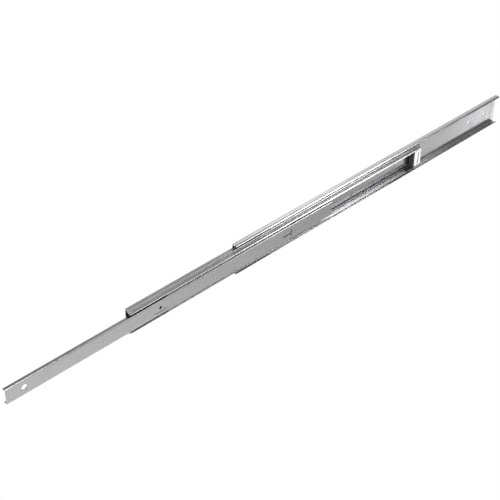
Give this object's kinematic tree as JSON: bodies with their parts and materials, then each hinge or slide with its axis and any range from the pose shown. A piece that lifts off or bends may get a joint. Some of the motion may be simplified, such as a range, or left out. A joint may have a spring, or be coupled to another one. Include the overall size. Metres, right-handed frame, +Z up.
{
  "type": "cabinet drawer slide",
  "caption": "Telescopic ball bearing drawer slide: nested steel channels on ball retainers, with a rear stop and bumper, shown partly pulled out.",
  "frame": {"origin": "middle of the cabinet member's flat mounting face", "axes": "+X along the slide towards the back of the cabinet (the drawer opens towards -X), +Y out of the mounting face into the cabinet side, +Z up"},
  "size_m": [0.905, 0.0127, 0.0456],
  "materials": {
    "cabinet_steel": "bright zinc plated cold-rolled strip",
    "intermediate_steel": "bright zinc plated cold-rolled strip",
    "drawer_steel": "bright zinc plated cold-rolled strip, satin",
    "retainer_steel": "thin plated strip",
    "ball_steel": "polished bearing steel, light grease",
    "white_nylon": "moulded nylon",
    "black_rubber": "moulded rubber"
  },
  "bodies": {
    "cabinet": {"cabinet_member": "cabinet_steel"},
    "outer_retainer": {"outer_retainer_upper": "retainer_steel", "outer_retainer_lower": "retainer_steel", "outer_ball_upper_01": "ball_steel", "outer_ball_upper_02": "ball_steel", "outer_ball_upper_03": "ball_steel", "outer_ball_upper_04": "ball_steel", "outer_ball_upper_05": "ball_steel", "outer_ball_upper_06": "ball_steel", "outer_ball_upper_07": "ball_steel", "outer_ball_upper_08": "ball_steel", "outer_ball_lower_01": "ball_steel", "outer_ball_lower_02": "ball_steel", "outer_ball_lower_03": "ball_steel", "outer_ball_lower_04": "ball_steel", "outer_ball_lower_05": "ball_steel", "outer_ball_lower_06": "ball_steel", "outer_ball_lower_07": "ball_steel", "outer_ball_lower_08": "ball_steel"},
    "intermediate": {"intermediate_member": "intermediate_steel", "rear_stop_block": "white_nylon", "rear_bumper": "black_rubber"},
    "inner_retainer": {"inner_retainer": "retainer_steel", "inner_ball_upper_01": "ball_steel", "inner_ball_upper_02": "ball_steel", "inner_ball_upper_03": "ball_steel", "inner_ball_upper_04": "ball_steel", "inner_ball_upper_05": "ball_steel", "inner_ball_upper_06": "ball_steel", "inner_ball_upper_07": "ball_steel", "inner_ball_upper_08": "ball_steel", "inner_ball_upper_09": "ball_steel", "inner_ball_upper_10": "ball_steel", "inner_ball_upper_11": "ball_steel", "inner_ball_upper_12": "ball_steel", "inner_ball_lower_01": "ball_steel", "inner_ball_lower_02": "ball_steel", "inner_ball_lower_03": "ball_steel", "inner_ball_lower_04": "ball_steel", "inner_ball_lower_05": "ball_steel", "inner_ball_lower_06": "ball_steel", "inner_ball_lower_07": "ball_steel", "inner_ball_lower_08": "ball_steel", "inner_ball_lower_09": "ball_steel", "inner_ball_lower_10": "ball_steel", "inner_ball_lower_11": "ball_steel", "inner_ball_lower_12": "ball_steel"},
    "drawer": {"drawer_member": "drawer_steel"}
  },
  "joints": [
    {"name": "intermediate_slide", "type": "slide", "parent": "cabinet", "child": "intermediate", "axis": [-1, 0, 0], "range_m": [-0.184, 0.091]},
    {"name": "drawer_slide", "type": "slide", "parent": "intermediate", "child": "drawer", "axis": [-1, 0, 0], "range_m": [-0.171, 0.104]},
    {"name": "outer_retainer_slide", "type": "slide", "parent": "cabinet", "child": "outer_retainer", "axis": [-1, 0, 0], "range_m": [-0.092, 0.0455]},
    {"name": "inner_retainer_slide", "type": "slide", "parent": "intermediate", "child": "inner_retainer", "axis": [-1, 0, 0], "range_m": [-0.0855, 0.052]}
  ],
  "couplings": [
    {"joint": "outer_retainer_slide", "follows": "intermediate_slide", "ratio": 0.5},
    {"joint": "inner_retainer_slide", "follows": "drawer_slide", "ratio": 0.5}
  ]
}
